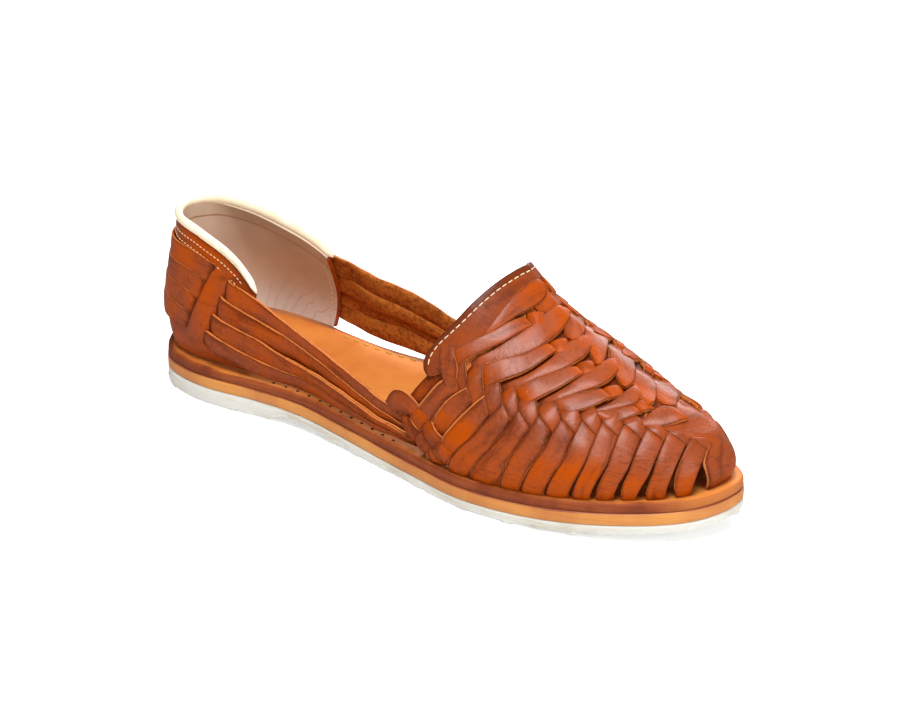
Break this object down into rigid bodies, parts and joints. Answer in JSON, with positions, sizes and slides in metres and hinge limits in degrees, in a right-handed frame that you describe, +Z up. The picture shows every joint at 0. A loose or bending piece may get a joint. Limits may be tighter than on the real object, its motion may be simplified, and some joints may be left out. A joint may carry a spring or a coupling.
{
  "type": "huarache sandal",
  "caption": "Right-foot closed-toe slip-on sandal: woven leather vamp, quarter straps round a bound heel cup, open waist, on a layered sole with a low rubber heel.",
  "frame": {"origin": "on the floor under the middle of the shoe's bounding box", "axes": "+X towards the toe, +Y towards the inner side of the foot, +Z up"},
  "size_m": [0.248, 0.086, 0.0713],
  "materials": {
    "outsole_rubber": "matt, light crepe",
    "midsole_leather": "burnished edge",
    "insole_leather": "natural grain, matt, dyed edge",
    "upper_leather": "waxed, semi-gloss",
    "band_leather": "waxed, semi-gloss",
    "cup_leather": "waxed outside, suede lining",
    "binding_leather": "soft, folded"
  },
  "bodies": {
    "root": {"outsole": "outsole_rubber", "midsole": "midsole_leather", "insole": "insole_leather", "upper": "upper_leather", "throat_band": "band_leather", "heel_cup": "cup_leather", "collar_binding": "binding_leather"}
  },
  "joints": []
}
